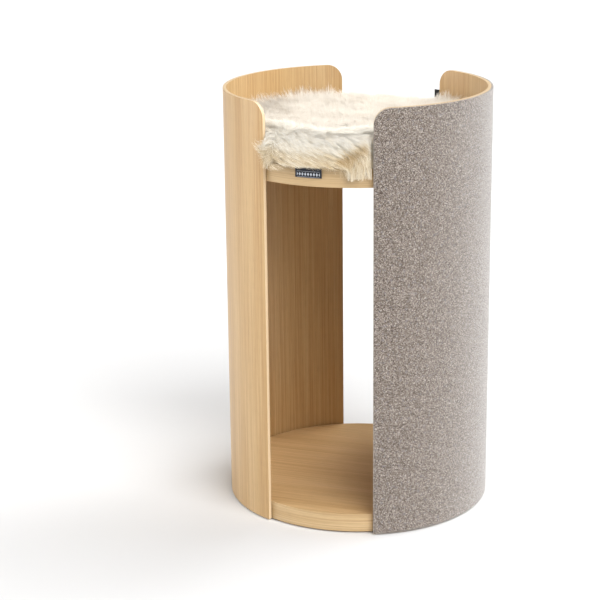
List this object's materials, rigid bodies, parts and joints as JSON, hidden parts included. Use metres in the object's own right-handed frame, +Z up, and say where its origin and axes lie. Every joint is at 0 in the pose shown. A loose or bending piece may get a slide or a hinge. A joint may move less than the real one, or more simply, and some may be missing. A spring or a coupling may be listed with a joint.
{
  "type": "cat tree",
  "caption": "Round free-standing cat tree: two bent plywood shells, one covered in tweed, hold a base board and a shelf with a lift-off long-pile cushion.",
  "frame": {"origin": "on the floor, on the axis of the cylinder, at the middle felt glide's lower face", "axes": "+Z up along the cylinder's axis; the front opening faces -Y; the bare wood shell is on -X and the fabric-covered shell on +X"},
  "size_m": [0.4838, 0.48, 0.768],
  "materials": {
    "ash_veneer": "satin clear lacquer on pale straight-grained veneer",
    "ash_edge_band": "satin clear lacquer on a thin veneer band",
    "tweed_fabric": "thick milled wool tweed, speckled grey beige",
    "label_cloth": "tight plain weave ribbon",
    "glide_felt": "dense felt",
    "cream_pile": "long soft cream pile",
    "panel_cloth": "plain weave cotton",
    "foam": "open-cell foam",
    "cast_zinc": "cast",
    "zinc_plated_steel": "bright plated",
    "beech_dowel": "raw"
  },
  "bodies": {
    "frame": {"left_shell": "ash_veneer", "right_shell": "ash_veneer", "right_shell_fabric": "tweed_fabric", "shell_flag_label": "label_cloth", "base_board": "ash_veneer", "base_edge_band": "ash_edge_band", "shelf_board": "ash_veneer", "shelf_edge_band": "ash_edge_band", "felt_glide_middle": "glide_felt", "felt_glide_1": "glide_felt", "felt_glide_2": "glide_felt", "felt_glide_3": "glide_felt", "felt_glide_4": "glide_felt", "base_left_front_cam": "cast_zinc", "base_left_back_cam": "cast_zinc", "base_right_front_cam": "cast_zinc", "base_right_back_cam": "cast_zinc", "shelf_left_front_cam": "cast_zinc", "shelf_left_back_cam": "cast_zinc", "shelf_right_front_cam": "cast_zinc", "shelf_right_back_cam": "cast_zinc", "base_left_front_cam_bolt": "zinc_plated_steel", "base_left_back_cam_bolt": "zinc_plated_steel", "base_right_front_cam_bolt": "zinc_plated_steel", "base_right_back_cam_bolt": "zinc_plated_steel", "shelf_left_front_cam_bolt": "zinc_plated_steel", "shelf_left_back_cam_bolt": "zinc_plated_steel", "shelf_right_front_cam_bolt": "zinc_plated_steel", "shelf_right_back_cam_bolt": "zinc_plated_steel", "base_left_dowel": "beech_dowel", "base_right_dowel": "beech_dowel", "shelf_left_dowel": "beech_dowel", "shelf_right_dowel": "beech_dowel"},
    "cushion": {"cushion_pile_cover": "cream_pile", "cushion_base_panel": "panel_cloth", "cushion_foam_core": "foam", "cushion_zip_tape": "panel_cloth", "cushion_label": "label_cloth"},
    "zip_slider": {"cushion_zip_slider": "cast_zinc"}
  },
  "joints": [
    {"name": "cushion_lift", "type": "slide", "parent": "frame", "child": "cushion", "axis": [0, 0, 1], "range_m": [0, 0.16]},
    {"name": "cushion_zip", "type": "slide", "parent": "cushion", "child": "zip_slider", "axis": [1, 0, 0], "range_m": [0, 0.225]}
  ]
}
